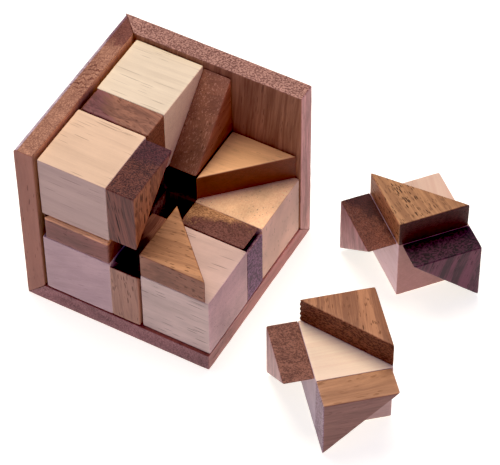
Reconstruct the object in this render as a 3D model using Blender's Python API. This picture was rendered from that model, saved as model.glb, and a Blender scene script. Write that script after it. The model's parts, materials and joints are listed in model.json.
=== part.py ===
"""Put-together puzzle: a corner tray and eight cubes that each carry three half-square wedges.

The tray is a floor and two walls, glued along mitres. It is open at +X, -Y and +Z.
The cubes pack into it as a 2 x 2 x 2 block. Between neighbouring cubes is a gap one wedge thick,
and two half-square wedges, one from each neighbour, fill it. Two pieces stand beside the tray.

Units are metres, +Z is up, and the origin is the centre of the tray's underside.
"""
import bmesh
import bpy
from math import radians
from mathutils import Matrix, Vector

# Driving dimensions
TRAY_SIDE = 0.0965          # outer width and depth of the tray
TRAY_HEIGHT = 0.0975        # underside to rim
PANEL = 0.0100              # thickness of the tray's panels
CUBE = 0.0350               # edge of a cube
WEDGE = 0.0140              # thickness of a wedge
TIP_CUT = 0.0014            # what the saw takes off each leg of a half-square
FULL_TIP_CUT = 0.0005       # and off a half-square that reaches nearly across its cube
GAP = 0.0003                # glue lines, and the air between faces that rest on each other

# Eased edges: (radius, segments)
CUBE_EDGE = (0.00045, 2)
WEDGE_EDGE = (0.00040, 2)
PANEL_EDGE = (0.0016, 3)    # the outer rim; the other edges of a panel are a share of it
INNER_EDGE_SHARE = 0.45
MITRE_EDGE_SHARE = 0.10

# The block's grid: the hidden corner is at the tray's left, back and bottom.
PITCH = CUBE + WEDGE + 2 * GAP
HIDDEN_CORNER = Vector((-TRAY_SIDE / 2, TRAY_SIDE / 2, 0.0))

# Each piece: its place in the grid (right, front, up), the way it is nudged out of the hidden
# corner by the tray's play (right, front), and for each wedge where its square corner lies in the
# other two axes, in X, Y, Z order: 0 towards the block's centre, 1 away from it.
PIECES = {
    "core": {"place": (0, 0, 0), "nudge": (0.0010, 0.0003),
             "wedge_x": (1, 1), "wedge_y": (0, 0), "wedge_z": (0, 1)},
    "back_right": {"place": (1, 0, 0), "nudge": (0.0013, 0.0004),
                   "wedge_x": (0, 0), "wedge_y": (0, 0), "wedge_z": (0, 1)},
    "front_left": {"place": (0, 1, 0), "nudge": (0.0012, 0.0015),
                   "wedge_x": (1, 1), "wedge_y": (1, 1), "wedge_z": (0, 1)},
    "front_right": {"place": (1, 1, 0), "nudge": (0.0018, 0.0005),
                    "wedge_x": (0, 0), "wedge_y": (1, 1), "wedge_z": (0, 1)},
    "upper_back": {"place": (0, 0, 1), "nudge": (0.0016, 0.0003),
                   "wedge_x": (1, 0), "wedge_y": (0, 1), "wedge_z": (1, 0)},
    "upper_front": {"place": (0, 1, 1), "nudge": (0.0012, 0.0005),
                    "wedge_x": (1, 1), "wedge_y": (1, 0), "wedge_z": (1, 0)},
    "loose_back": {"place": (1, 0, 1), "wedge_x": (0, 1), "wedge_y": (0, 0), "wedge_z": (1, 0)},
    "loose_front": {"place": (1, 1, 1), "wedge_x": (0, 0), "wedge_y": (1, 1), "wedge_z": (1, 0)},
}

# Where the loose pieces stand: the inner corner's place beside the tray, the turn about +Z,
# and the directions that the piece's own X, Y and Z axes take before that turn.
STANDING = {
    "loose_back": {"spot": (0.1021, 0.0316), "turn": 49.8,
                   "axes": ((1, 0, 0), (0, 0, -1), (0, 1, 0))},
    "loose_front": {"spot": (0.1057, -0.0545), "turn": 41.4,
                    "axes": ((0, 1, 0), (0, 0, 1), (1, 0, 0))},
}

# Wood finishes: base colour and roughness
WOODS = {
    "tray_wood": ((0.36, 0.16, 0.10), 0.55),
    "pale_wood": ((0.78, 0.60, 0.44), 0.60),
    "honey_wood": ((0.50, 0.26, 0.11), 0.55),
    "brown_wood": ((0.33, 0.15, 0.09), 0.55),
    "dark_wood": ((0.17, 0.08, 0.07), 0.55),
}
WEDGE_WOOD = {
    "core": ("brown_wood", "brown_wood", "brown_wood"),
    "back_right": ("brown_wood", "brown_wood", "honey_wood"),
    "front_left": ("brown_wood", "dark_wood", "honey_wood"),
    "front_right": ("dark_wood", "dark_wood", "honey_wood"),
    "upper_back": ("brown_wood", "brown_wood", "dark_wood"),
    "upper_front": ("dark_wood", "brown_wood", "brown_wood"),
    "loose_back": ("brown_wood", "honey_wood", "dark_wood"),
    "loose_front": ("brown_wood", "honey_wood", "brown_wood"),
}

FULL_WEDGES = ("upper_back_wedge_y", "loose_back_wedge_y", "loose_front_wedge_x",
               "loose_front_wedge_y")

AXES = (Vector((1, 0, 0)), Vector((0, 1, 0)), Vector((0, 0, 1)))
UP = AXES[2]


def clear_scene():
    for item in list(bpy.data.objects):
        bpy.data.objects.remove(item, do_unlink=True)


def make_wood(name):
    colour, roughness = WOODS[name]
    wood = bpy.data.materials.new(name)
    wood.use_nodes = True
    shader = wood.node_tree.nodes["Principled BSDF"]
    shader.inputs["Base Color"].default_value = (*colour, 1.0)
    shader.inputs["Roughness"].default_value = roughness
    shader.inputs["Metallic"].default_value = 0.0
    return wood


def solid_from_rings(name, bottom, top, wood, edge, edge_share=None):
    """A closed solid between two polygons with the same number of corners, its edges eased.

    edge_share(a, b) gives the part of the easing radius that the edge from a to b takes.
    """
    build = bmesh.new()
    low = [build.verts.new(corner) for corner in bottom]
    high = [build.verts.new(corner) for corner in top]
    build.faces.new(low)
    build.faces.new(high)
    for i in range(len(low)):
        j = (i + 1) % len(low)
        build.faces.new((low[i], low[j], high[j], high[i]))
    bmesh.ops.recalc_face_normals(build, faces=build.faces)
    weight = build.edges.layers.float.new("bevel_weight_edge")
    for line in build.edges:
        ends = (line.verts[0].co, line.verts[1].co)
        line[weight] = edge_share(*ends) if edge_share else 1.0
    mesh = bpy.data.meshes.new(name)
    build.to_mesh(mesh)
    build.free()
    mesh.materials.append(wood)
    solid = bpy.data.objects.new(name, mesh)
    bpy.context.collection.objects.link(solid)
    ease = solid.modifiers.new("eased_edges", "BEVEL")
    ease.width, ease.segments = edge
    ease.limit_method = "WEIGHT"
    return solid


def make_panel(name, right, up, inward, width, height, wood):
    """A tray panel from the hidden corner, its two inner edges mitred at 45 degrees."""
    start = GAP * 0.7

    def ring(depth):
        corners = ((depth + start, depth + start), (width, depth + start),
                   (width, height), (depth + start, height))
        return [right * a + up * b + inward * depth for a, b in corners]

    def share(first, second):
        middle = (first + second) / 2
        on_mitre = min(middle.dot(right), middle.dot(up)) < PANEL + 2 * start
        if on_mitre:
            return MITRE_EDGE_SHARE
        return 1.0 if middle.dot(inward) < PANEL / 4 else INNER_EDGE_SHARE

    panel = solid_from_rings(name, ring(0.0), ring(PANEL), wood, PANEL_EDGE, share)
    panel.location = HIDDEN_CORNER
    return panel


def make_tray(wood):
    right, front = AXES[0], -AXES[1]
    make_panel("tray_floor", right, front, UP, TRAY_SIDE, TRAY_SIDE, wood)
    make_panel("tray_back_wall", right, UP, front, TRAY_SIDE, TRAY_HEIGHT, wood)
    make_panel("tray_left_wall", front, UP, right, TRAY_SIDE, TRAY_HEIGHT, wood)


def outward_axes(place):
    """The directions from a piece's inner corner into its cube, for a place in the grid."""
    right, front, up = place
    return (AXES[0] * (1 if right else -1), AXES[1] * (-1 if front else 1), UP * (1 if up else -1))


def make_cube(name, outward, wood):
    """A cube that fills the octant of outward, with the piece's inner corner at its origin."""
    a, b, c = (direction * CUBE for direction in outward)
    base = [Vector(), a, a + b, b]
    return solid_from_rings(name, base, [corner + c for corner in base], wood, CUBE_EDGE)


def make_wedge(name, outward, across, square_corner, wood):
    """A half-square prism on the cube's inner face across the given axis, one glue line off it."""
    legs = [outward[axis] for axis in range(3) if axis != across]
    leg = CUBE - (FULL_TIP_CUT if name in FULL_WEDGES else TIP_CUT)
    corner = Vector()
    runs = []
    for direction, far in zip(legs, square_corner):
        corner += direction * CUBE * far
        runs.append(direction * leg * (-1 if far else 1))
    outline = [Vector(), runs[0], runs[1]]
    inward = -outward[across]
    near = [point + inward * GAP for point in outline]
    away = [point + inward * (GAP + WEDGE) for point in outline]
    wedge = solid_from_rings(name, near, away, wood, WEDGE_EDGE)
    wedge.location = corner
    return wedge


def tray_spot(piece):
    """Where a piece's inner corner is when it lies in the tray."""
    right, front, up = piece["place"]
    nudge_right, nudge_front = piece["nudge"]
    from_left = PANEL + nudge_right + (PITCH if right else CUBE)
    from_back = PANEL + nudge_front + (PITCH if front else CUBE)
    from_below = PANEL + GAP + (PITCH if up else CUBE)
    return HIDDEN_CORNER + Vector((from_left, -from_back, from_below))


def standing_pose(stand):
    """The inner corner's place and the piece's turn when it stands on one plain cube face."""
    axes = Matrix(stand["axes"]).transposed()
    turn = Matrix.Rotation(radians(stand["turn"]), 3, "Z") @ axes
    return Vector((*stand["spot"], CUBE)), turn.to_quaternion()


def make_piece(name, piece, woods):
    holder = bpy.data.objects.new(name, None)
    bpy.context.collection.objects.link(holder)
    holder.rotation_mode = "QUATERNION"
    if name in STANDING:
        holder.location, holder.rotation_quaternion = standing_pose(STANDING[name])
    else:
        holder.location = tray_spot(piece)
    outward = outward_axes(piece["place"])
    parts = [make_cube(f"{name}_cube", outward, woods["pale_wood"])]
    for across, letter in enumerate("xyz"):
        wood = woods[WEDGE_WOOD[name][across]]
        square_corner = piece[f"wedge_{letter}"]
        parts.append(make_wedge(f"{name}_wedge_{letter}", outward, across, square_corner, wood))
    for part in parts:
        part.parent = holder


def main():
    clear_scene()
    woods = {name: make_wood(name) for name in WOODS}
    make_tray(woods["tray_wood"])
    for name, piece in PIECES.items():
        make_piece(name, piece, woods)


main()
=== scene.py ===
"""Looks for a put-together puzzle: a corner tray and eight cubes with wedges, in five woods.

Every CAD node is replaced by a finer piece cut from the node's own flat faces: the same solid with
eased, slightly worn edges. Each piece carries its place in its board as a point attribute, so the
grain is one solid pattern that shows as streaks along the fibres and as speckle across them.

Lengths are in metres. Places in a board and all that a wood is told are in millimetres.
"""
import json
from itertools import combinations
from math import cos, radians, sin
from random import Random

import bmesh
import bpy
import numpy as np
from mathutils import Matrix, Vector, noise

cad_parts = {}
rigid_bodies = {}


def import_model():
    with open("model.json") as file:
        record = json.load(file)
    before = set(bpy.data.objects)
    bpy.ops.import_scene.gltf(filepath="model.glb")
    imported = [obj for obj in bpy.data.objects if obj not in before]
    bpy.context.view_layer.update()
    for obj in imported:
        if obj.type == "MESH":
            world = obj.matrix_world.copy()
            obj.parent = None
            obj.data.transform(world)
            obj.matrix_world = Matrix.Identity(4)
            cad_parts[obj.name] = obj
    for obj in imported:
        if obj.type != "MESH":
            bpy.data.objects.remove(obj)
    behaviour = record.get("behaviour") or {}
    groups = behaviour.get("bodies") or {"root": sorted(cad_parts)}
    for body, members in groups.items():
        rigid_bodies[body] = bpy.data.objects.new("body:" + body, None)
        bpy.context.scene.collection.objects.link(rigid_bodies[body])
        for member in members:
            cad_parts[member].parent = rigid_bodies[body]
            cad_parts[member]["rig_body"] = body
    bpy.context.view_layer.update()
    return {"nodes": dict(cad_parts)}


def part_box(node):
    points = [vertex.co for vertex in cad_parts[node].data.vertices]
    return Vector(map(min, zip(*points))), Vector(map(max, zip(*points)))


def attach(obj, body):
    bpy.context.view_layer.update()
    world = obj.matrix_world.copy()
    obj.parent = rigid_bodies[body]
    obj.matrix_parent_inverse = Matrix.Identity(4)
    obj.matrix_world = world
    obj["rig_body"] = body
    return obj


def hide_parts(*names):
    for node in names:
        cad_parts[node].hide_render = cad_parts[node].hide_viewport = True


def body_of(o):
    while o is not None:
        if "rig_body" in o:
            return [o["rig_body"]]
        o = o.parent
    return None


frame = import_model()

MM = 0.001
X, Y, Z = Vector((1, 0, 0)), Vector((0, 1, 0)), Vector((0, 0, 1))

# ---------------------------------------------------------------------------- shape of the pieces

FLAT_AREA = 150 * MM * MM        # a CAD face at least this large is one of a solid's flat faces
SAME_PLACE = 1e-6                # points this close are the same
SAME_PLANE = 20 * SAME_PLACE     # and planes, where their normals' cosine is above SAME_WAY
SAME_WAY = 0.9999
NO_CORNER = 1e-3                 # three planes with a smaller determinant share no corner
ALIGNED = 0.99                   # cosine above which two directions count as one
ACROSS = 0.1                     # and below which they count as square to each other
STRAIGHT = 0.9                   # a face with no larger part along an axis is cut at a slant
LEAST_LENGTH, LEAST_AREA = 1e-9, 1e-15   # in place of zero where a length or an area divides

CUBE_EDGE = 0.50 * MM            # easing of the edges
WEDGE_EDGE = 0.62 * MM
GLUED_EDGE = 0.25 * MM
SIDE_EDGE = 2.4 * MM             # the left wall's outer rim, planed off more than the others
RIM_EDGE = 0.6 * MM              # the tray's other outer edges
INNER_EDGE = 0.45 * MM
MITRE_EDGE = 0.05 * MM
EDGE_STEPS = 3                   # facets across an eased edge
SIDE_STEPS = 6                   # and on the left wall, where one edge is wide

MITRE_GAP = 0.13 * MM            # how much each mitre face grows, to close the joint to a hairline
GLUE_GAP = 0.25 * MM             # and a wedge's glued face towards its cube
PIECE_CELL = 2.3 * MM            # mesh cells on the cubes and wedges
TRAY_CELL = 4.5 * MM             # and on the tray
RIDGE_CELL = 0.4 * MM            # fine cells where a saw left ridges

PIECE_WEAR = (1.5 * MM, 0.16 * MM)   # how far in from an edge the wear starts, and its depth
TRAY_WEAR = (2.6 * MM, 0.22 * MM)
COARSE_DENT, FINE_DENT = 5 * MM, 1.7 * MM
# Of that depth: what goes everywhere, what each kind of dent takes, what a corner loses more,
# and the most that goes.
WEAR_EVEN, WEAR_COARSE, WEAR_FINE, WEAR_CORNER, WEAR_MOST = 0.45, 0.55, 0.30, 0.80, 1.6
SEED_STRIDE = 3.7                # how far apart in the noise two pieces' wear lies
SEED_AXES = (1, 0.7, 1.3)

# Where a share starts to rise from 0, and how far on it reaches 1.
TOP_FACE = (0.5, 0.3)            # by a normal's part along the face's direction
TINTED_FACE = (0.74, 0.1)
CUT_FIBRES = (0.25, 0.5)         # by a normal's part along the grain
MARK_CORE = 1.6                  # a mark is full up to 1 - 1 / MARK_CORE of its half width

PITH_DISTANCE = (35, 80)         # millimetres from a piece's centre to the middle of its tree
PITH_ANGLE = (0, 360)            # degrees
BOARD_START = (-900, 900)        # millimetres along the board


def flat_faces(node):
    """The node's flat faces as outward normals and distances from the world's origin."""
    found = []
    for face in node.data.polygons:
        normal = face.normal
        distance = normal.dot(node.data.vertices[face.vertices[0]].co)
        for plane in found:
            if plane[0].dot(normal) > SAME_WAY and abs(plane[1] - distance) < SAME_PLANE:
                plane[2] += face.area
                break
        else:
            found.append([normal.copy(), distance, face.area])
    large = [plane for plane in found if plane[2] > FLAT_AREA]
    return np.array([plane[0] for plane in large]), np.array([plane[1] for plane in large])


def in_order(points, normal):
    """A face's corners in order around its normal."""
    middle = sum((point.co for point in points), Vector()) / len(points)
    first = (points[0].co - middle).normalized()
    second = Vector(normal).cross(first)

    def angle(point):
        spoke = point.co - middle
        return np.arctan2(spoke.dot(second), spoke.dot(first))

    return sorted(points, key=angle)


def sharp_solid(normals, distances):
    """The convex solid inside the planes, as a bmesh with one face for each plane."""
    corners = []
    for trio in combinations(range(len(normals)), 3):
        rows = normals[list(trio)]
        if abs(np.linalg.det(rows)) < NO_CORNER:
            continue
        point = np.linalg.solve(rows, distances[list(trio)])
        inside = (normals @ point <= distances + SAME_PLACE).all()
        if inside and all(np.abs(point - other).max() > SAME_PLACE for other in corners):
            corners.append(point)
    build = bmesh.new()
    points = [build.verts.new(corner) for corner in corners]
    for normal, distance in zip(normals, distances):
        on_face = [p for p in points if abs(normal @ np.array(p.co) - distance) < SAME_PLACE]
        build.faces.new(in_order(on_face, normal))
    return build


def ease_edges(build, radius_of, steps):
    """The solid as a mesh with each edge rounded by radius_of(edge)."""
    widest = max(radius_of(edge) for edge in build.edges)
    weight = build.edges.layers.float.new("bevel_weight_edge")
    for edge in build.edges:
        edge[weight] = radius_of(edge) / widest
    sharp = bpy.data.meshes.new("sharp")
    build.to_mesh(sharp)
    build.free()
    holder = bpy.data.objects.new("sharp", sharp)
    bpy.context.collection.objects.link(holder)
    ease = holder.modifiers.new("ease", "BEVEL")
    ease.width = widest
    ease.segments = steps
    ease.limit_method = "WEIGHT"
    seen = holder.evaluated_get(bpy.context.evaluated_depsgraph_get())
    eased = bpy.data.meshes.new_from_object(seen)
    bpy.data.objects.remove(holder)
    return eased


def cut_into_cells(mesh, axes, cell):
    """Cuts the mesh across each axis at even steps, so its faces can be shaped."""
    build = bmesh.new()
    build.from_mesh(mesh)
    for axis in axes:
        reach = [axis.dot(point.co) for point in build.verts]
        low, high = min(reach), max(reach)
        steps = max(2, round((high - low) / cell))
        for i in range(1, steps):
            place = axis * (low + (high - low) * i / steps)
            everything = build.verts[:] + build.edges[:] + build.faces[:]
            bmesh.ops.bisect_plane(build, geom=everything, dist=SAME_PLACE / 10,
                                   plane_co=place, plane_no=axis)
    build.to_mesh(mesh)
    build.free()


def read_points(mesh):
    points = np.zeros(len(mesh.vertices) * 3)
    mesh.vertices.foreach_get("co", points)
    return points.reshape(-1, 3)


def put_points(mesh, points):
    mesh.vertices.foreach_set("co", points.ravel())
    mesh.update()


def rise(values, start, reach):
    """0 up to start, then an even rise to 1 over reach."""
    return np.clip((values - start) / reach, 0, 1)


def wear_down(mesh, normals, distances, wear, seed):
    """Sinks the edges unevenly, and returns how close each point is to an edge, from 0 to 1."""
    reach, depth = wear
    points = read_points(mesh)
    near = np.clip(1 - (distances - points @ normals.T) / reach, 0, 1)
    ranked = np.sort(near, axis=1)
    edge, corner = ranked[:, -2], ranked[:, -3]
    away = (near ** 2) @ normals
    away /= np.maximum(np.linalg.norm(away, axis=1, keepdims=True), LEAST_LENGTH)
    shift = Vector([seed * SEED_STRIDE * part for part in SEED_AXES])
    coarse = np.array([noise.noise(Vector(p) / COARSE_DENT + shift) for p in points])
    fine = np.array([noise.noise(Vector(p) / FINE_DENT - shift) for p in points])
    amount = WEAR_EVEN + WEAR_COARSE * coarse + WEAR_FINE * fine + WEAR_CORNER * corner
    points -= away * (depth * edge * np.clip(amount, 0, WEAR_MOST))[:, None]
    for normal, distance in zip(normals, distances):
        points -= np.outer(np.maximum(points @ normal - distance, 0), normal)
    put_points(mesh, points)
    return edge


def saw_ridges(mesh, toward, pitch, depth, reach):
    """Level ridges that the saw left on the tip that points toward the given direction."""
    points = read_points(mesh)
    along = points @ np.array(toward)
    near = np.clip(1 - (along.max() - along) / reach, 0, 1)
    groove = 0.5 - 0.5 * np.cos(2 * np.pi * points[:, 2] / pitch)
    put_points(mesh, points - np.outer(depth * near * groove, toward))


def face_weighted_normals(mesh):
    """Point normals that lean to the larger faces, so that flats stay flat beside round edges."""
    points = read_points(mesh)
    total = np.zeros_like(points)
    for face in mesh.polygons:
        push = np.array(face.normal) * face.area
        for i in face.vertices:
            total[i] += push
    return total / np.maximum(np.linalg.norm(total, axis=1, keepdims=True), LEAST_AREA)


def store(mesh, name, kind, values):
    layer = mesh.attributes.new(name, kind, "POINT")
    layer.data.foreach_set("vector" if kind == "FLOAT_VECTOR" else "value",
                           np.asarray(values, np.float32).ravel())


def board_place(points, centre, grain, side, across, pith, along):
    """Each point's place in its board in millimetres: X along the grain, the pith at Y = Z = 0."""
    distance, angle = pith
    offset = np.array([along, distance * cos(radians(angle)), distance * sin(radians(angle))])
    axes = np.array([grain, side, across])
    return (points - np.array(centre)) @ axes.T / MM + offset


def mix_axes(axes, parts):
    """The vector with the given parts along the given axes."""
    return sum((axis * part for axis, part in zip(axes, parts)), Vector())


def end_share(points, axes, end):
    """How far each point lies into one end of a piece: 0 before its start, 1 after its end."""
    reach = points @ np.array(mix_axes(axes, end["toward"]))
    reach = (reach - reach.min()) / (reach.max() - reach.min())
    return rise(reach, end["start"], end["end"] - end["start"])


def mark_share(points, marks):
    """How strongly each point is marked: marks are (place along Y, half width) in millimetres."""
    share = np.zeros(len(points))
    for place, width in marks:
        distance = np.abs(points[:, 1] / MM - place) / width
        share = np.maximum(share, np.clip(MARK_CORE * (1 - distance), 0, 1))
    return share


def tint_by(share, tint):
    """White where share is 0, and the tint where it is 1."""
    return 1 + share[:, None] * (np.array(tint) - 1)


def face_tints(facing, axes, tints):
    """Each point's tint, from those of the faces that it looks toward; partly wood colour, partly
    painted light and shade.
    """
    colour = np.ones((len(facing), 3))
    for lean, tint in tints:
        toward = np.array(mix_axes(axes, lean).normalized())
        colour *= tint_by(rise(facing @ toward, *TINTED_FACE), tint)
    return colour


def own_axes(node):
    """The piece's own axes, from the upright faces of its cube."""
    if not node.startswith("loose"):
        return X, Y, Z
    cube = node.split("_wedge_")[0].removesuffix("_cube") + "_cube"
    normals, _ = flat_faces(frame["nodes"][cube])
    upright = [Vector(n) for n in normals if abs(n[2]) < ACROSS]
    right = max(upright, key=lambda n: n.x + n.y)
    return right, Z.cross(right), Z


def edge_radius(node, edge, grown):
    """How far this edge of the node is rounded; grown holds the normals of its glued faces."""
    if node.endswith("_cube"):
        return CUBE_EDGE * LOOKS[node].get("easing", 1)
    if "_wedge_" in node:
        glued = any(face.normal.dot(Vector(normal)) > ALIGNED
                    for face in edge.link_faces for normal in grown)
        return GLUED_EDGE if glued else WEDGE_EDGE * LOOKS[node].get("easing", 1)
    if any(max(abs(c) for c in face.normal) < STRAIGHT for face in edge.link_faces):
        return MITRE_EDGE
    middle = (edge.verts[0].co + edge.verts[1].co) / 2
    (left, _, _), (_, _, top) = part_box("tray_left_wall")
    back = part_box("tray_back_wall")[1].y
    if node == "tray_left_wall" and max(abs(middle.x - left), abs(middle.z - top)) < MM:
        return SIDE_EDGE
    outer = min(abs(middle.x - left), abs(middle.y - back), abs(middle.z)) < MM
    return RIM_EDGE if outer else INNER_EDGE


def middle_of(node):
    low, high = (Vector(corner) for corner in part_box(node))
    return (low + high) / 2


def growth(node, piece, axes, normals):
    """How far each flat face moves out, so that a glued joint shows as a hairline."""
    if node.startswith("tray"):
        return MITRE_GAP * (np.abs(normals).max(axis=1) < STRAIGHT)
    if node.endswith("_cube"):
        return np.zeros(len(normals))
    points = read_points(frame["nodes"][node].data)
    thin = min(axes, key=lambda axis: np.ptp(points @ np.array(axis)))
    toward = middle_of(piece + "_cube") - middle_of(node)
    facing = normals @ np.array(thin) * np.sign(thin.dot(toward))
    return GLUE_GAP * (facing > ALIGNED)


def shape_node(node, axes, look, seed):
    """The node's finer mesh, and how close each of its points is to an edge."""
    on_tray = node.startswith("tray")
    normals, distances = flat_faces(frame["nodes"][node])
    grow = growth(node, node.split("_wedge_")[0], axes, normals)
    distances = distances + grow
    build = sharp_solid(normals, distances)
    bmesh.ops.recalc_face_normals(build, faces=build.faces)
    mesh = ease_edges(build, lambda edge: edge_radius(node, edge, normals[grow > 0]),
                      SIDE_STEPS if node == "tray_left_wall" else EDGE_STEPS)
    cut_into_cells(mesh, axes, TRAY_CELL if on_tray else PIECE_CELL)
    if "ridges" in look:
        cut_into_cells(mesh, [Z], RIDGE_CELL)
    wear = TRAY_WEAR if on_tray else PIECE_WEAR
    edge = wear_down(mesh, normals, distances, wear, seed)
    if "ridges" in look:
        saw_ridges(mesh, -axes[0], *look["ridges"])
    return mesh, edge


def store_wood(mesh, node, axes, look, draw, facing, edge):
    """Stores what the wood's pattern reads at each point of the mesh."""
    grain = mix_axes(axes, look["grain"]).normalized()
    helper = min(axes, key=lambda axis: abs(axis.dot(grain)))
    side = (helper - grain * helper.dot(grain)).normalized()
    pith = draw.uniform(*PITH_DISTANCE), draw.uniform(*PITH_ANGLE)
    points = read_points(mesh)
    # A wall's dark patches are only on its rim.
    shown = rise(facing[:, 2], *TOP_FACE) if node.startswith("tray") else 1.0
    stain_and_painted_light = end_share(points, axes, look["stain_and_painted_light"]) if "stain_and_painted_light" in look else np.zeros(len(points))
    # Per-face tints: partly the wood's own colour, partly painted light and shade.
    tint = face_tints(facing, axes, FACES.get(node, ()))
    # shade: painted shadow at the front end of one face, next to a cube; on the floor partly dirt
    # as well.
    if "shade" in look:
        shade = look["shade"]
        on_face = rise(facing @ np.array(shade["face"]), *TOP_FACE)
        tint *= tint_by(end_share(points, axes, shade) * on_face, shade["tint"])
    place = board_place(points, middle_of(node), grain, side, grain.cross(side), pith,
                        draw.uniform(*BOARD_START))
    store(mesh, "board", "FLOAT_VECTOR", place)
    store(mesh, "edge", "FLOAT", edge)
    store(mesh, "cut", "FLOAT", rise(np.abs(facing @ np.array(grain)), *CUT_FIBRES))
    store(mesh, "stain_and_painted_light", "FLOAT", stain_and_painted_light * shown)
    store(mesh, "tint", "FLOAT_VECTOR", tint)
    store(mesh, "mark", "FLOAT", mark_share(points, look.get("marks", ())) * shown)


def make_piece(node, body, look, seed):
    """The visible piece for one CAD node."""
    axes = own_axes(node)
    mesh, edge = shape_node(node, axes, look, seed)
    facing = face_weighted_normals(mesh)
    store_wood(mesh, node, axes, look, Random(seed), facing, edge)
    mesh.shade_smooth()
    mesh.normals_split_custom_set_from_vertices(facing)
    mesh.name = node + "_wood"
    mesh.materials.clear()
    mesh.materials.append(make_wood(node, look))
    piece = bpy.data.objects.new(node + "_wood", mesh)
    bpy.context.collection.objects.link(piece)
    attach(piece, body)
    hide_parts(node)


# -------------------------------------------------------------------------------------- the woods


class Net:
    """Short calls for building a node tree."""

    def __init__(self, tree):
        self.tree = tree

    def node(self, kind, **settings):
        made = self.tree.nodes.new("ShaderNode" + kind)
        for name, value in settings.items():
            setattr(made, name, value)
        return made

    def put(self, socket, value):
        if isinstance(value, bpy.types.NodeSocket):
            self.tree.links.new(value, socket)
        else:
            socket.default_value = value

    def attribute(self, name, output="Fac"):
        return self.node("Attribute", attribute_name=name).outputs[output]

    def math(self, what, a, b=0.0, clamp=False):
        made = self.node("Math", operation=what, use_clamp=clamp)
        self.put(made.inputs[0], a)
        self.put(made.inputs[1], b)
        return made.outputs[0]

    def plus(self, a, b, clamp=False):
        return self.math("ADD", a, b, clamp)

    def minus(self, a, b):
        return self.math("SUBTRACT", a, b)

    def times(self, a, b):
        return self.math("MULTIPLY", a, b)

    def over(self, a, b):
        return self.math("DIVIDE", a, b)

    def about_half(self, value, strength):
        """A value from 0 to 1 as a swing either side of 0."""
        return self.times(self.minus(value, 0.5), strength)

    def vector(self, what, a, b=(0, 0, 0)):
        made = self.node("VectorMath", operation=what)
        self.put(made.inputs[0], a)
        self.put(made.inputs[1], b)
        return made.outputs["Value" if what == "LENGTH" else "Vector"]

    def noise(self, place, stretch, detail=2.0, rough=0.5, twist=0.0):
        """Noise with features 1 / stretch millimetres apart; 3-D, so it runs through the solid."""
        made = self.node("TexNoise")
        self.put(made.inputs["Vector"], self.vector("MULTIPLY", place, stretch))
        self.put(made.inputs["Scale"], 1.0)
        self.put(made.inputs["Detail"], detail)
        self.put(made.inputs["Roughness"], rough)
        self.put(made.inputs["Distortion"], twist)
        return made.outputs["Fac"], made.outputs["Color"]

    def ramp(self, value, low, high, out_low=0.0, out_high=1.0):
        made = self.node("MapRange", interpolation_type="SMOOTHSTEP")
        for socket, given in zip(made.inputs, (value, low, high, out_low, out_high)):
            self.put(socket, given)
        return made.outputs[0]

    def mix(self, share, a, b, kind="MIX"):
        """Of a colour mix node's sockets, 6 and 7 are the colours in and 2 is the colour out."""
        made = self.node("Mix", data_type="RGBA", blend_type=kind)
        self.put(made.inputs[0], share)
        self.put(made.inputs[6], a)
        self.put(made.inputs[7], b)
        return made.outputs[2]

    def filtered(self, colour, tint):
        return self.mix(1.0, colour, tint, "MULTIPLY")

    def combine(self, x, y, z):
        made = self.node("CombineXYZ")
        for socket, value in zip(made.inputs, (x, y, z)):
            self.put(socket, value)
        return made.outputs[0]

    def separate(self, vector):
        made = self.node("SeparateXYZ")
        self.put(made.inputs[0], vector)
        return made.outputs


# What a wood is told. The colours come from its piece, and the end tint of a stain and of painted
# light and shade is white where there is none.
WOOD_COLOURS = ("light", "dark", "end_light", "end_dark", "pore", "stain_and_painted_light")
# Every species says these numbers. pore_length, pore_gap and relief are in millimetres, pore_size
# is a share of pore_gap, and pore_share is how many cells hold a pore. The others are strengths.
SPECIES_NUMBERS = ("rings", "bands", "streaks", "pores", "pore_length", "pore_gap", "pore_size",
                   "pore_share", "worms", "speckle", "relief", "roughness")
# These hold where neither the species nor the piece says anything else. worm_count is how many
# worms of pale tissue go in a millimetre, and worm_start the noise level where one starts.
USUAL_NUMBERS = {
    "ring_width": 5.0,
    "wander": 1.0,
    "worm_count": 1.0,
    "worm_start": 0.5,
    "scrawl": 0.0,
    "blotch": 0.10,
    "edge_light": 0.12,
}
WHITE = (1.0, 1.0, 1.0)

# Noise stretches along the grain and across it: features lie 1 / stretch millimetres apart.
DRIFT = (0.012, 0.03, 0.03)
WAVE = (0.05, 0.11, 0.11)
BAND = (0.006, 0.16, 0.16)
STREAK = (0.03, 0.95, 0.95)
GRIT = (0.8, 2.0, 2.0)
ZIGZAG = (0.02, 0.42, 0.25)
SCRAWL_GAPS = (0.05, 0.30, 0.30)
CLOUD = (0.03, 0.05, 0.05)
AS_IT_IS = (1.0, 1.0, 1.0)

DRIFT_REACH, WAVE_REACH = 16.0, 2.6     # millimetres that the fibres wander, at a wander of 1
RING_POWER, RING_DROP = 2.2, 0.90       # a ring's slow rise, and where in it the drop begins
RING_MEAN = 0.28                        # a ring's mean darkness, so that rings keep the mean tone
BAND_GAIN, STREAK_GAIN, GRIT_GAIN, CLOUD_GAIN = 4.0, 5.0, 3.0, 3.0  # swings, at a strength of 1
WORM_LONG, WORM_FLAT = 0.04, 0.72       # its stretch along the grain, and a factor on one across
WORM_SOFT = 0.09                        # half the width of a worm's border
END_GAIN, END_BASE = 0.6, 0.2           # how much of the long grain's tone the end grain keeps
PORE_LEAST, PORE_CORE = 0.45, 0.7       # the smallest pore's size, and a pore's fully dark part
PORE_SOFT = 0.1                         # how gradually pores drop out where they are sparse
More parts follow.
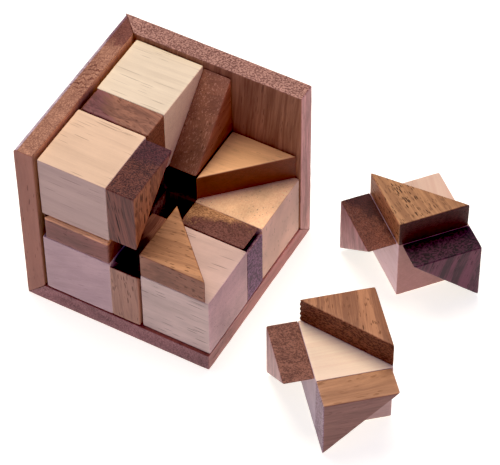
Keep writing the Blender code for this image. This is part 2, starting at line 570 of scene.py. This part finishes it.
# Ramps: a value's low and high end, and what comes out there where that isn't 0 and 1.
PORE_BANDS = (0.38, 0.56, 0.45, 1.0)
SCRAWL_LINE = (0.06, 0.19, 1.0, 0.0)
SCRAWL_BREAKS = (0.34, 0.46)
STAIN_AND_LIGHT_BORDER, STAIN_AND_LIGHT_FOOT = (0.25, 0.75), (0.0, 0.15)
SCRAWL_SLANT, SCRAWL_GAP = 0.57, 3.0    # how the lines lean, and how far apart they run
SCRAWL_SWING = 2.2                      # how many gaps wide they zigzag
SCRAWL_TINT = (0.36, 0.17, 0.12, 1.0)
STAIN_AND_LIGHT_STREAKS, STAIN_AND_LIGHT_BANDS = 2.0, 1.2   # how far streaks and bands break up the border of a stain and of painted light and shade
# What pores, end grain and grit add to the roughness, and what an edge takes off it.
ROUGH_HOLE, ROUGH_CUT, ROUGH_GRIT, ROUGH_EDGE = 0.2, 0.08, 0.12, 0.06
PORE_DEPTH, STREAK_HEIGHT, GRIT_HEIGHT, WORM_HEIGHT = -1.2, 0.5, 0.4, 0.5  # times the relief
SPECULAR = 0.35


def wandering_place(net, given, wander):
    """The place in the board with fibres that wander, so streaks and rings aren't ruled lines."""
    place = given
    for stretch, most in ((DRIFT, DRIFT_REACH), (WAVE, WAVE_REACH)):
        shift = net.vector("SUBTRACT", net.noise(given, stretch)[1], (0.5, 0.5, 0.5))
        reach = net.times(wander, most)
        shift = net.vector("MULTIPLY", shift, net.combine(0.0, reach, reach))
        place = net.vector("ADD", place, shift)
    return place


def growth_ring(net, place, width):
    """Growth rings: slow rise to a dark late band, then a sudden start."""
    _, y, z = net.separate(place)
    radius = net.vector("LENGTH", net.combine(0.0, y, z))
    turn = net.math("FRACT", net.over(radius, width))
    return net.times(net.math("POWER", turn, RING_POWER), net.ramp(turn, 1.0, RING_DROP))


def long_tone(net, ask, ring, band, streak):
    """How light the wood is along the fibres, from 0 to 1."""
    tone = net.plus(0.5, net.times(net.minus(RING_MEAN, ring), ask["rings"]))
    tone = net.plus(tone, net.about_half(band, net.times(ask["bands"], BAND_GAIN)))
    streaks = net.about_half(streak, net.times(ask["streaks"], STREAK_GAIN))
    return net.plus(tone, streaks, clamp=True)


def wriggling_worms(net, ask, place):
    """Across the fibres: pale wriggling tissue between dark pores."""
    count, start = ask["worm_count"], ask["worm_start"]
    stretch = net.combine(WORM_LONG, count, net.times(count, WORM_FLAT))
    fine = net.vector("MULTIPLY", place, stretch)
    worm = net.noise(fine, AS_IT_IS, detail=1.5, twist=0.6)[0]
    pale = net.ramp(worm, net.minus(start, WORM_SOFT), net.plus(start, WORM_SOFT))
    return net.about_half(pale, ask["worms"])


def end_tone(net, ask, tone, wriggle, grit):
    """How light the wood is across the fibres, from 0 to 1."""
    ends = net.plus(net.times(tone, END_GAIN), END_BASE)
    ends = net.plus(ends, wriggle)
    speckle = net.about_half(grit, net.times(ask["speckle"], GRIT_GAIN))
    return net.plus(ends, speckle, clamp=True)


def pore_holes(net, ask, place, band):
    """Pores: dark dashes along the grain and dots across it, fainter where a band is dark."""
    thin = net.over(1.0, ask["pore_gap"])
    long = net.over(1.0, ask["pore_length"])
    cells = net.node("TexVoronoi", feature="F1")
    net.put(cells.inputs["Vector"], net.vector("MULTIPLY", place, net.combine(long, thin, thin)))
    net.put(cells.inputs["Scale"], 1.0)
    chance = net.node("SeparateColor")
    net.put(chance.inputs[0], cells.outputs["Color"])
    size = net.times(ask["pore_size"], net.plus(PORE_LEAST, chance.outputs[0]))
    distance = cells.outputs["Distance"]
    hole = net.minus(1.0, net.ramp(distance, net.times(size, PORE_CORE), size))
    sparse = net.minus(1.0, ask["pore_share"])
    kept = net.ramp(chance.outputs[1], net.minus(sparse, PORE_SOFT), net.plus(sparse, PORE_SOFT))
    return net.times(net.times(hole, kept), net.ramp(band, *PORE_BANDS))


def scrawled_lines(net, given, marked, strength):
    """Dark zigzag lines with gaps in them, where a piece is marked."""
    zigzag = net.noise(given, ZIGZAG, rough=0.6)[0]
    _, y, z = net.separate(given)
    line = net.over(net.minus(z, net.times(y, SCRAWL_SLANT)), SCRAWL_GAP)
    line = net.plus(line, net.about_half(zigzag, SCRAWL_SWING))
    line = net.math("ABSOLUTE", net.minus(net.math("FRACT", line), 0.5))
    drawn = net.times(net.ramp(line, *SCRAWL_LINE), marked)
    unbroken = net.ramp(net.noise(given, SCRAWL_GAPS, detail=1.0)[0], *SCRAWL_BREAKS)
    return net.times(net.times(drawn, unbroken), strength)


def ragged_stain_and_light(net, stain_and_light_share, streak, band):
    """A stained end, and on some pieces painted light and shade at an end, whose border is broken
    up along the fibres.
    """
    ragged = net.plus(stain_and_light_share, net.about_half(streak, net.times(stain_and_light_share, STAIN_AND_LIGHT_STREAKS)))
    ragged = net.ramp(net.plus(ragged, net.about_half(band, STAIN_AND_LIGHT_BANDS)), *STAIN_AND_LIGHT_BORDER)
    return net.times(ragged, net.ramp(stain_and_light_share, *STAIN_AND_LIGHT_FOOT))


def uneven_grey(net, ask, given, grit, edge):
    """Speckle, clouds, paler edges, and darker edges on the core as painted shade, as a grey to
    multiply the colour by.
    """
    cloud = net.noise(given, CLOUD, detail=3.0)[0]
    shade = net.plus(1.0, net.about_half(grit, ask["speckle"]))
    shade = net.plus(shade, net.about_half(cloud, net.times(ask["blotch"], CLOUD_GAIN)))
    shade = net.plus(shade, net.times(edge, ask["edge_light"]))
    grey = net.node("CombineColor")
    for socket in grey.inputs:
        net.put(socket, shade)
    return grey.outputs[0]


def surface_roughness(net, ask, hole, cut, edge, grit):
    rough = net.plus(ask["roughness"], net.times(hole, ROUGH_HOLE))
    rough = net.plus(rough, net.times(cut, ROUGH_CUT))
    rough = net.minus(rough, net.times(edge, ROUGH_EDGE))
    return net.plus(rough, net.about_half(grit, ROUGH_GRIT), clamp=True)


def surface_normal(net, relief, hole, streak, grit, worms):
    """The normal over sunken pores, raised streaks, grit and tissue; relief is in millimetres."""
    height = net.times(hole, net.times(relief, PORE_DEPTH))
    height = net.plus(height, net.about_half(streak, net.times(relief, STREAK_HEIGHT)))
    height = net.plus(height, net.about_half(grit, net.times(relief, GRIT_HEIGHT)))
    height = net.plus(height, net.times(worms, net.times(relief, WORM_HEIGHT)))
    bump = net.node("Bump")
    net.put(bump.inputs["Strength"], 1.0)
    net.put(bump.inputs["Distance"], MM)
    net.put(bump.inputs["Height"], height)
    return bump.outputs[0]


def wood_group():
    """Solid wood in board coordinates: colour, roughness and surface normal."""
    tree = bpy.data.node_groups.new("solid_wood", "ShaderNodeTree")
    for name in WOOD_COLOURS:
        tree.interface.new_socket(name, in_out="INPUT", socket_type="NodeSocketColor")
    for name in (*SPECIES_NUMBERS, *USUAL_NUMBERS):
        tree.interface.new_socket(name, in_out="INPUT", socket_type="NodeSocketFloat")
    for name, kind in (("Color", "Color"), ("Roughness", "Float"), ("Normal", "Vector")):
        tree.interface.new_socket(name, in_out="OUTPUT", socket_type="NodeSocket" + kind)
    net = Net(tree)
    ask = tree.nodes.new("NodeGroupInput").outputs
    given = net.attribute("board", "Vector")
    cut, edge = net.attribute("cut"), net.attribute("edge")
    stain_and_light_share, marked = net.attribute("stain_and_painted_light"), net.attribute("mark")

    place = wandering_place(net, given, ask["wander"])
    ring = growth_ring(net, place, ask["ring_width"])
    band = net.noise(place, BAND)[0]
    streak = net.noise(place, STREAK, detail=5.0, rough=0.62)[0]
    grit = net.noise(given, GRIT, rough=0.7)[0]
    hole = pore_holes(net, ask, place, band)
    worms = wriggling_worms(net, ask, place)

    tone = long_tone(net, ask, ring, band, streak)
    along = net.mix(tone, ask["dark"], ask["light"])
    across = net.mix(end_tone(net, ask, tone, worms, grit), ask["end_dark"], ask["end_light"])
    colour = net.mix(cut, along, across)
    colour = net.mix(net.times(hole, ask["pores"]), colour, ask["pore"])
    scrawl = scrawled_lines(net, given, marked, ask["scrawl"])
    colour = net.mix(scrawl, colour, net.filtered(colour, SCRAWL_TINT))
    # At one end: a real stain on some pieces, painted shadow and painted light on others.
    stain_and_painted_light = ragged_stain_and_light(net, stain_and_light_share, streak, band)
    colour = net.mix(stain_and_painted_light, colour, net.filtered(colour, ask["stain_and_painted_light"]))
    # The per-face tints carry painted light and shade as well as the wood's colour.
    colour = net.filtered(colour, net.attribute("tint", "Vector"))
    colour = net.filtered(colour, uneven_grey(net, ask, given, grit, edge))

    out = tree.nodes.new("NodeGroupOutput")
    net.put(out.inputs["Color"], colour)
    net.put(out.inputs["Roughness"], surface_roughness(net, ask, hole, cut, edge, grit))
    net.put(out.inputs["Normal"], surface_normal(net, ask["relief"], hole, streak, grit,
                                                 net.times(worms, cut)))
    return tree


WOOD = wood_group()

# Each wood's grain: how much its parts show, and how far dark and light lie from the mean colour.
# dusk is what is left of the mean in the dark tone at a spread of 1, and pore what is left in a
# pore.
SPECIES = {
    "pale_wood": dict(
        spread=0.22, end_spread=0.25, dusk=(0.62, 0.55, 0.5), pore=0.4, rings=0.35, bands=0.26,
        streaks=0.24, pores=0.62, pore_length=19.0, pore_gap=0.7, pore_size=0.3, pore_share=0.27,
        wander=0.22, worms=0.3, speckle=0.09, blotch=0.12, edge_light=0.05, relief=0.03,
        roughness=0.55),
    "honey_wood": dict(
        spread=0.5, end_spread=0.7, dusk=(0.6, 0.48, 0.42), pore=0.28, rings=0.6, bands=0.5,
        streaks=0.5, pores=0.8, pore_length=6.0, pore_gap=0.7, pore_size=0.36, pore_share=0.35,
        worms=0.6, speckle=0.12, relief=0.08, roughness=0.5),
    "brown_wood": dict(
        spread=0.5, end_spread=0.8, dusk=(0.58, 0.48, 0.46), pore=0.35, rings=0.5, bands=0.6,
        streaks=0.6, pores=0.7, pore_length=5.0, pore_gap=0.7, pore_size=0.36, pore_share=0.3,
        worms=0.9, worm_count=1.3, speckle=0.15, relief=0.08, roughness=0.52),
    "dark_wood": dict(
        spread=0.7, end_spread=1.1, dusk=(0.52, 0.44, 0.5), pore=0.25, rings=0.5, bands=0.6,
        streaks=0.7, pores=0.7, pore_length=5.0, pore_gap=0.7, pore_size=0.36, pore_share=0.35,
        worms=1.0, worm_count=1.15, speckle=0.2, relief=0.08, roughness=0.52),
    "tray_wood": dict(
        spread=0.45, end_spread=1.05, dusk=(0.58, 0.46, 0.44), pore=0.4, rings=0.4, bands=0.5,
        streaks=0.5, pores=0.6, pore_length=7.0, pore_gap=0.65, pore_size=0.36, pore_share=0.25,
        worms=1.0, worm_count=1.2, speckle=0.12, relief=0.08, roughness=0.52),
}

# Mean colours of each piece, along the grain and across it.
COLOURS = {
    "tray_floor": ((0.526, 0.255, 0.193), (0.372, 0.188, 0.156)),
    "tray_back_wall": ((0.409, 0.199, 0.107), (0.322, 0.183, 0.132)),
    "tray_left_wall": ((0.448, 0.201, 0.121), (0.345, 0.175, 0.099)),
    "core_cube": ((0.8, 0.6, 0.4), (0.7, 0.52, 0.36)),
    "core_wedge_x": ((0.16, 0.07, 0.05), (0.1, 0.04, 0.03)),
    "core_wedge_y": ((0.16, 0.07, 0.05), (0.45, 0.30, 0.17)),
    "core_wedge_z": ((0.16, 0.07, 0.045), (0.06, 0.02, 0.015)),
    "back_right_cube": ((0.849, 0.575, 0.409), (0.93, 0.595, 0.318)),
    "back_right_wedge_x": ((0.225, 0.085, 0.054), (0.067, 0.02, 0.015)),
    "back_right_wedge_y": ((0.3, 0.14, 0.08), (0.275, 0.122, 0.059)),
    "back_right_wedge_z": ((0.746, 0.431, 0.19), (0.098, 0.016, 0.007)),
    "front_left_cube": ((0.636, 0.421, 0.379), (0.74, 0.55, 0.45)),
    "front_left_wedge_x": ((0.434, 0.227, 0.146), (0.2, 0.08, 0.05)),
    "front_left_wedge_y": ((0.24, 0.11, 0.08), (0.07, 0.03, 0.02)),
    "front_left_wedge_z": ((0.296, 0.13, 0.091), (0.177, 0.057, 0.033)),
    "front_right_cube": ((0.717, 0.531, 0.412), (0.694, 0.47, 0.429)),
    "front_right_wedge_x": ((0.50, 0.21, 0.11), (0.06, 0.02, 0.02)),
    "front_right_wedge_y": ((0.24, 0.11, 0.08), (0.253, 0.149, 0.193)),
    "front_right_wedge_z": ((0.433, 0.213, 0.093), (0.16, 0.06, 0.03)),
    "upper_back_cube": ((0.784, 0.709, 0.485), (0.898, 0.662, 0.406)),
    "upper_back_wedge_x": ((0.275, 0.109, 0.053), (0.22, 0.111, 0.072)),
    "upper_back_wedge_y": ((0.228, 0.101, 0.062), (0.219, 0.081, 0.037)),
    "upper_back_wedge_z": ((0.2, 0.08, 0.05), (0.06, 0.02, 0.015)),
    "upper_front_cube": ((0.739, 0.544, 0.358), (0.72, 0.52, 0.4)),
    "upper_front_wedge_x": ((0.246, 0.092, 0.054), (0.093, 0.034, 0.025)),
    "upper_front_wedge_y": ((0.3, 0.12, 0.07), (0.08, 0.03, 0.02)),
    "upper_front_wedge_z": ((0.3, 0.12, 0.07), (0.08, 0.03, 0.02)),
    "loose_back_cube": ((0.93, 0.676, 0.525), (0.609, 0.35, 0.278)),
    "loose_back_wedge_x": ((0.574, 0.344, 0.318), (0.109, 0.037, 0.024)),
    "loose_back_wedge_y": ((0.412, 0.215, 0.09), (0.068, 0.018, 0.014)),
    "loose_back_wedge_z": ((0.135, 0.055, 0.068), (0.038, 0.012, 0.02)),
    "loose_front_cube": ((0.93, 0.753, 0.517), (0.846, 0.634, 0.593)),
    "loose_front_wedge_x": ((0.398, 0.21, 0.109), (0.462, 0.335, 0.329)),
    "loose_front_wedge_y": ((0.371, 0.173, 0.076), (0.192, 0.064, 0.031)),
    "loose_front_wedge_z": ((0.633, 0.395, 0.319), (0.203, 0.088, 0.055)),
}

TOP, FRONT, BACK, RIGHT, LEFT = (0, 0, 1), (0, -1, 0), (0, 1, 0), (1, 0, 0), (-1, 0, 0)

# Tints of single faces, by each face's outward direction in the piece's own axes. They bring the
# faces' mean colours to the photo's, so they make up for the wood and for the lamps alike.
# Part of each tint is the wood's colour and part is painted light and shade: tints below 1, on
# front and left faces, are mostly painted shade.
FACES = {
    "tray_floor": (
        (FRONT, (0.66, 0.56, 0.65)),
        (RIGHT, (0.70, 0.55, 0.59)),
    ),
    "tray_back_wall": (
        (FRONT, (0.78, 0.74, 0.74)),
        (RIGHT, (1.12, 1.04, 1.65)),
        (TOP, (0.98, 0.98, 0.96)),
    ),
    "tray_left_wall": (
        # Painted highlight: the outer rounded rim is tinted pale lavender, as where sky light
        # glances off it.
        ((-0.7, 0, 0.7), (1.30, 2.20, 4.20)),
        (FRONT, (0.64, 0.52, 0.55)),
        (TOP, (1.03, 1.07, 1.05)),
        (RIGHT, (1.47, 1.74, 1.49)),
    ),
    "back_right_cube": (
        (TOP, (1.05, 1.02, 1.01)),
        (RIGHT, (0.77, 0.73, 0.75)),
    ),
    "back_right_wedge_y": (
        (TOP, (1.49, 1.79, 1.53)),
    ),
    "back_right_wedge_z": (
        (TOP, (1.03, 1.06, 1.07)),
        ((0.7, -0.7, 0), (0.84, 0.56, 0.44)),
    ),
    "front_left_cube": (
        (FRONT, (0.70, 0.68, 0.75)),
    ),
    "front_left_wedge_x": (
        (FRONT, (0.71, 0.66, 0.68)),
    ),
    "front_left_wedge_z": (
        (FRONT, (0.68, 0.53, 0.60)),
    ),
    "front_right_cube": (
        (FRONT, (0.78, 0.76, 0.82)),
        (TOP, (0.93, 0.94, 0.95)),
        (RIGHT, (0.78, 0.74, 0.79)),
    ),
    "front_right_wedge_y": (
        (RIGHT, (0.68, 0.51, 0.69)),
    ),
    "front_right_wedge_z": (
        (FRONT, (0.53, 0.42, 0.53)),
        (TOP, (1.05, 1.09, 0.99)),
    ),
    "upper_back_cube": (
        (RIGHT, (0.90, 0.85, 0.88)),
        (TOP, (0.98, 0.98, 0.97)),
    ),
    "upper_back_wedge_x": (
        ((0, -0.7, 0.7), (1.17, 1.27, 1.31)),
        (RIGHT, (0.93, 0.77, 0.78)),
    ),
    "upper_back_wedge_y": (
        (TOP, (1.05, 1.07, 0.92)),
        (RIGHT, (0.85, 0.81, 0.78)),
    ),
    "upper_front_cube": (
        (FRONT, (0.68, 0.62, 0.78)),
        (TOP, (1.03, 1.06, 1.00)),
    ),
    "upper_front_wedge_x": (
        (FRONT, (0.56, 0.40, 0.43)),
        (TOP, (1.03, 0.94, 0.73)),
        (RIGHT, (1.05, 0.99, 0.69)),
    ),
    "loose_back_cube": (
        (LEFT, (0.98, 0.94, 1.27)),
        (TOP, (0.83, 0.81, 0.72)),
        (FRONT, (0.70, 0.65, 0.71)),
    ),
    "loose_back_wedge_x": (
        (TOP, (1.19, 1.22, 1.02)),
        (LEFT, (0.80, 0.70, 0.76)),
    ),
    "loose_back_wedge_y": (
        (LEFT, (1.20, 1.06, 1.14)),
        (TOP, (1.03, 1.06, 1.00)),
        (FRONT, (0.82, 0.79, 0.80)),
    ),
    "loose_back_wedge_z": (
        (TOP, (0.88, 0.64, 0.82)),
        (FRONT, (0.62, 0.34, 0.50)),
    ),
    "loose_front_cube": (
        (LEFT, (0.62, 0.62, 0.70)),
        (FRONT, (0.49, 0.37, 0.47)),
        (TOP, (1.08, 1.06, 1.04)),
    ),
    "loose_front_wedge_x": (
        (LEFT, (0.67, 0.62, 0.71)),
        (TOP, (1.09, 1.09, 0.93)),
        (FRONT, (0.54, 0.48, 0.70)),
    ),
    "loose_front_wedge_y": (
        ((-0.7, -0.7, 0), (0.80, 0.74, 0.64)),
        (TOP, (0.99, 1.01, 0.94)),
    ),
    "loose_front_wedge_z": (
        (TOP, (0.98, 1.01, 0.97)),
        (LEFT, (0.73, 0.66, 0.72)),
    ),
}

LIGHT_SHARE = 0.55               # how far above the mean the light tone lies, for a spread of 1
LIGHTEST = 0.95


def two_tones(mean, spread, dusk):
    """A light and a dark tone either side of a mean colour; dusk is the hue of the dark one."""
    light = tuple(min(LIGHTEST, c * (1 + LIGHT_SHARE * spread)) for c in mean)
    dark = tuple(c * (1 - spread * (1 - d)) for c, d in zip(mean, dusk))
    return light, dark


def make_wood(name, look):
    """The finish of one piece: its species, changed by what the piece's look says."""
    values = {**USUAL_NUMBERS, **SPECIES[look["slot"]], **look.get("wood", {})}
    spread, end_spread, dusk, depth = (
        values.pop(key) for key in ("spread", "end_spread", "dusk", "pore"))
    along, across = COLOURS[name]
    values["light"], values["dark"] = two_tones(along, spread, dusk)
    values["end_light"], values["end_dark"] = two_tones(across, end_spread, dusk)
    values["pore"] = tuple(c * depth for c in along)
    values["stain_and_painted_light"] = look["stain_and_painted_light"]["tint"] if "stain_and_painted_light" in look else WHITE
    made = bpy.data.materials.new(name)
    made.use_nodes = True
    net = Net(made.node_tree)
    shader = made.node_tree.nodes["Principled BSDF"]
    wood = net.node("Group", node_tree=WOOD)
    for key, value in values.items():
        wood.inputs[key].default_value = (*value, 1.0) if isinstance(value, tuple) else value
    net.put(shader.inputs["Base Color"], wood.outputs["Color"])
    net.put(shader.inputs["Roughness"], wood.outputs["Roughness"])
    net.put(shader.inputs["Normal"], wood.outputs["Normal"])
    net.put(shader.inputs["Specular IOR Level"], SPECULAR)
    return made


# ------------------------------------------------------------------------------------ each piece

ALONG_X, ALONG_Y, UPRIGHT = (1, 0, 0), (0, 1, 0), (0, 0, 1)
HIDDEN = dict(edge_light=-0.85)  # painted shade: the core's edges are made dark, as they only show in shadowed slits

# slot and grain: the finish, and the fibres' direction in the piece's own axes.
# easing: a factor on the rounding of its edges.
# stain and painted light: an end that is darker or lighter, with a ragged border; a real stain on
# some pieces, painted shadow on front_right_wedge_x and painted light on front_left_wedge_z.
# shade:
# the same on one face only, with an even border, as painted shadow, on the floor together with
# dirt.
# marks: where scrawled lines show, as (place along Y, half width) in mm.
# ridges: the saw's ridges on the tip, as (pitch, depth, how far in they reach) in metres.
# wood: what is different from the species.
LOOKS = {
    "tray_floor": dict(
        slot="tray_wood", grain=ALONG_Y,
        # Painted shadow with some dirt: the floor's front strip before the cubes is darkened.
        shade=dict(face=TOP, toward=FRONT, start=0.93, end=0.99, tint=(0.6, 0.38, 0.3)),
        wood=dict(worm_count=1.6, worms=0.5, streaks=0.3, bands=0.3, blotch=0.4)),
    "tray_back_wall": dict(
        slot="tray_wood", grain=(0.08, 0, 1),
        wood=dict(rings=0.1, streaks=0.6, bands=0.6, spread=0.62, wander=0.3, worm_count=1.5)),
    "tray_left_wall": dict(
        slot="tray_wood", grain=(0, 0.04, 1), marks=((-1.0, 7.5), (10.5, 7.0)),
        stain_and_painted_light=dict(toward=BACK, start=0.72, end=0.86, tint=(0.45, 0.3, 0.32)),
        wood=dict(worm_count=2.2, worms=0.55, worm_start=0.53, scrawl=1.0, bands=0.3, streaks=0.2,
                  rings=0.1),
        # Painted shadow: the front end of the inner face, in the cube's shade, is darkened.
        shade=dict(face=RIGHT, toward=FRONT, start=0.93, end=0.99, tint=(0.42, 0.38, 0.45))),
    "core_cube": dict(slot="pale_wood", grain=ALONG_X, easing=0.3, wood=HIDDEN),
    "core_wedge_x": dict(slot="brown_wood", grain=UPRIGHT, easing=0.4, wood=HIDDEN),
    "core_wedge_y": dict(slot="brown_wood", grain=ALONG_X, easing=0.4, wood=HIDDEN),
    "core_wedge_z": dict(slot="brown_wood", grain=ALONG_X, easing=0.4, wood=HIDDEN),
    "back_right_cube": dict(
        slot="pale_wood", grain=(0.1, 0.1, 1),
        wood=dict(blotch=0.5, pores=0.65, pore=0.35, pore_gap=0.9, pore_length=3.5,
                  pore_share=0.24, pore_size=0.3, worms=0.5, worm_count=1.3, bands=0.1,
                  streaks=0.1, rings=0.1)),
    "back_right_wedge_x": dict(slot="brown_wood", grain=UPRIGHT),
    "back_right_wedge_y": dict(
        slot="brown_wood", grain=(0.6, 0, 1),
        stain_and_painted_light=dict(toward=(0.35, -1, 0), start=0.22, end=0.52, tint=(0.34, 0.24, 0.4)),
        wood=dict(worm_count=1.7)),
    "back_right_wedge_z": dict(
        slot="honey_wood", grain=(1, 0.05, 0),
        wood=dict(pores=0.4, pore_share=0.18, bands=0.25, streaks=0.25, rings=0.2, spread=0.3)),
    "front_left_cube": dict(
        slot="pale_wood", grain=(1, 0.1, 0.3),
        wood=dict(pores=0.25, streaks=0.3, blotch=0.25, speckle=0.16)),
    "front_left_wedge_x": dict(slot="brown_wood", grain=UPRIGHT),
    "front_left_wedge_y": dict(slot="dark_wood", grain=ALONG_X),
    "front_left_wedge_z": dict(
        slot="honey_wood", grain=ALONG_X, easing=1.5,
        # Partly painted light, partly the honey wood's own colour: the top edge is lightened like
        # a top lit from above.
        stain_and_painted_light=dict(toward=TOP, start=0.84, end=0.92, tint=(2.5, 3.3, 2.1)),
        wood=dict(blotch=0.5)),
    "front_right_cube": dict(
        slot="pale_wood", grain=(1, 0.05, 0),
        wood=dict(pores=0.7, pore_share=0.3, pore_size=0.34, pore_length=15.0, pore=0.35,
                  blotch=0.35)),
    "front_right_wedge_x": dict(
        slot="dark_wood", grain=ALONG_Y,
        # Painted shadow: the front part of the top face is darkened, as where it lies in shade.
        stain_and_painted_light=dict(toward=(-0.3, -1, 0), start=0.25, end=0.55, tint=(0.1, 0.1, 0.2))),
    "front_right_wedge_y": dict(slot="dark_wood", grain=ALONG_X),
    "front_right_wedge_z": dict(
        slot="honey_wood", grain=(1, 0.1, 0),
        wood=dict(pore_length=3.6, pore_share=0.42)),
    "upper_back_cube": dict(slot="pale_wood", grain=(1, 0.03, 0)),
    "upper_back_wedge_x": dict(
        slot="brown_wood", grain=(0, 1, 0.2),
        wood=dict(worm_count=2.0, worms=2.2, worm_start=0.62, end_spread=1.0, blotch=0.5,
                  bands=0.6, streaks=0.3, speckle=0.3)),
    "upper_back_wedge_y": dict(
        slot="brown_wood", grain=(1, -0.35, -0.2),
        stain_and_painted_light=dict(toward=(-1, -0.8, 0), start=0.5, end=0.85, tint=(0.66, 0.52, 0.86)),
        wood=dict(wander=1.5, rings=0.7, ring_width=3.4, streaks=0.8, pores=0.5, bands=0.6,
                  spread=0.65)),
    "upper_back_wedge_z": dict(slot="dark_wood", grain=ALONG_X),
    "upper_front_cube": dict(slot="pale_wood", grain=(1, -0.03, 0)),
    "upper_front_wedge_x": dict(
        slot="dark_wood", grain=(-0.14, 0, 1),
        stain_and_painted_light=dict(toward=(-0.2, 1, 0), start=0.5, end=0.75, tint=(0.66, 0.56, 1.0)),
        wood=dict(worm_count=2.2, pore_length=14.0, pore_gap=1.0, wander=0.6, end_spread=1.4,
                  pore_size=0.38, pore_share=0.5, pores=1.0, pore=0.18, speckle=0.35, spread=0.9,
                  bands=0.4, streaks=0.7, rings=0.2)),
    "upper_front_wedge_y": dict(slot="brown_wood", grain=ALONG_X),
    "upper_front_wedge_z": dict(slot="brown_wood", grain=ALONG_X),
    "loose_back_cube": dict(slot="pale_wood", grain=(0.2, 1, 0), wood=dict(pores=0.3)),
    "loose_back_wedge_x": dict(
        slot="brown_wood", grain=(0, 0.15, 1),
        stain_and_painted_light=dict(toward=(1, 0.5, 0), start=0.35, end=0.8, tint=(0.36, 0.27, 0.33)),
        wood=dict(worm_count=1.8, worms=1.2, blotch=0.5, speckle=0.3)),
    "loose_back_wedge_y": dict(
        slot="honey_wood", grain=(-0.1, 1, 0),
        wood=dict(pore_gap=0.6, pore_share=0.62, pore_length=3.0, pores=1.0, pore_size=0.42,
                  pore=0.15, wander=0.45)),
    "loose_back_wedge_z": dict(
        slot="dark_wood", grain=(0.3, 0, 1),
        wood=dict(worm_count=1.1, end_spread=1.7, spread=1.2, wander=0.6)),
    "loose_front_cube": dict(slot="pale_wood", grain=ALONG_X, wood=dict(pores=0.3)),
    "loose_front_wedge_x": dict(
        slot="brown_wood", grain=(1, 0.05, 0),
        wood=dict(pores=0.3, streaks=0.4, bands=0.4, rings=0.3)),
    "loose_front_wedge_y": dict(
        slot="honey_wood", grain=(0.1, 1, 0), ridges=(3.3 * MM, 0.42 * MM, 3.0 * MM),
        wood=dict(bands=0.7, rings=0.6, streaks=0.7, spread=0.7, pore_length=3.5, pore_share=0.42,
                  wander=0.6, worms=1.2, worm_count=1.5, end_spread=1.2)),
    "loose_front_wedge_z": dict(
        slot="brown_wood", grain=(0.1, 0, 1),
        wood=dict(worm_count=1.9, worms=1.1, end_spread=0.95, bands=0.9)),
}

for seed, (node, look) in enumerate(LOOKS.items(), 1):
    make_piece(node, body_of(frame["nodes"][node])[0], look, seed)

# --------------------------------------------------------------------------- floor, light, camera

FLOOR_SIDE = 8.0                 # metres
FLOOR_GAP = 0.1 * MM             # how far the floor lies under the tray
FLOOR_LOOK = {
    "Base Color": (0.62, 0.67, 0.63, 1),
    "Roughness": 0.9,
    "Emission Color": (1.0, 0.97, 0.88, 1),
    "Emission Strength": 0.80,
}

SKY_COLOUR, SKY_STRENGTH = (0.36, 0.40, 1.0), 0.36
# Each lamp: its place and aim in metres, its width, its power in watts and its colour.
LIGHTS = {
    "overhead": ((-0.25, 0.25, 1.25), (0.04, 0, 0.05), 0.9, 15.3, (1.0, 0.84, 0.69)),
    "right_fill": ((1.3, -0.3, 0.45), (0.03, 0, 0.04), 0.8, 1.8, (1.0, 0.35, 0.2)),
}

# The fitted camera: its angles in degrees, and in millimetres the point it is measured from
# and how far the eye lies from there to the right, upward and back.
AZIMUTH, ELEVATION, ROLL = 29.648, 49.107, -0.693
CAMERA_BASE = (0, 0, 48)
EYE_RIGHT, EYE_UP, EYE_BACK = 37.49, -18.51, 1232.68
LENS, SENSOR = 195.6, 36         # focal length and sensor width in millimetres
NEAREST = 0.05                   # nothing closer to the camera than this is drawn

BLACK_LEVEL = 0.012              # linear values up to this come out black


def make_floor():
    build = bmesh.new()
    half = FLOOR_SIDE / 2
    build.faces.new([build.verts.new((x * half, y * half, -FLOOR_GAP))
                     for x, y in ((-1, -1), (1, -1), (1, 1), (-1, 1))])
    mesh = bpy.data.meshes.new("floor")
    build.to_mesh(mesh)
    build.free()
    paper = bpy.data.materials.new("pale_floor")
    paper.use_nodes = True
    shader = paper.node_tree.nodes["Principled BSDF"]
    for name, value in FLOOR_LOOK.items():
        shader.inputs[name].default_value = value
    mesh.materials.append(paper)
    floor = bpy.data.objects.new("floor", mesh)
    bpy.context.collection.objects.link(floor)


def make_light(name, place, aim, size, power, colour):
    lamp = bpy.data.lights.new(name, "AREA")
    lamp.shape = "DISK"
    lamp.size = size
    lamp.energy = power
    lamp.color = colour
    holder = bpy.data.objects.new(name, lamp)
    holder.location = place
    holder.rotation_euler = (Vector(aim) - Vector(place)).to_track_quat("-Z", "Y").to_euler()
    bpy.context.collection.objects.link(holder)


def make_world():
    world = bpy.data.worlds.new("studio")
    world.use_nodes = True
    sky = world.node_tree.nodes["Background"]
    sky.inputs["Color"].default_value = (*SKY_COLOUR, 1)
    sky.inputs["Strength"].default_value = SKY_STRENGTH
    bpy.context.scene.world = world


def make_camera():
    azimuth, height, roll = (radians(angle) for angle in (AZIMUTH, ELEVATION, ROLL))
    back = Vector((sin(azimuth) * cos(height), -cos(azimuth) * cos(height), sin(height)))
    right = Vector((cos(azimuth), sin(azimuth), 0))
    up = back.cross(right)
    right, up = right * cos(roll) + up * sin(roll), up * cos(roll) - right * sin(roll)
    eye = Vector(CAMERA_BASE) + right * EYE_RIGHT + up * EYE_UP + back * EYE_BACK
    lens = bpy.data.cameras.new("camera")
    lens.lens = LENS
    lens.sensor_width = SENSOR
    lens.clip_start = NEAREST
    camera = bpy.data.objects.new("camera", lens)
    turn = Matrix((right, up, back)).transposed()
    camera.matrix_world = Matrix.Translation(eye * MM) @ turn.to_4x4()
    bpy.context.collection.objects.link(camera)
    bpy.context.scene.camera = camera


make_floor()
make_world()
for name, settings in LIGHTS.items():
    make_light(name, *settings)
make_camera()
view = bpy.context.scene.view_settings
view.view_transform = "Standard"
view.use_curve_mapping = True
view.curve_mapping.black_level = (BLACK_LEVEL,) * 3
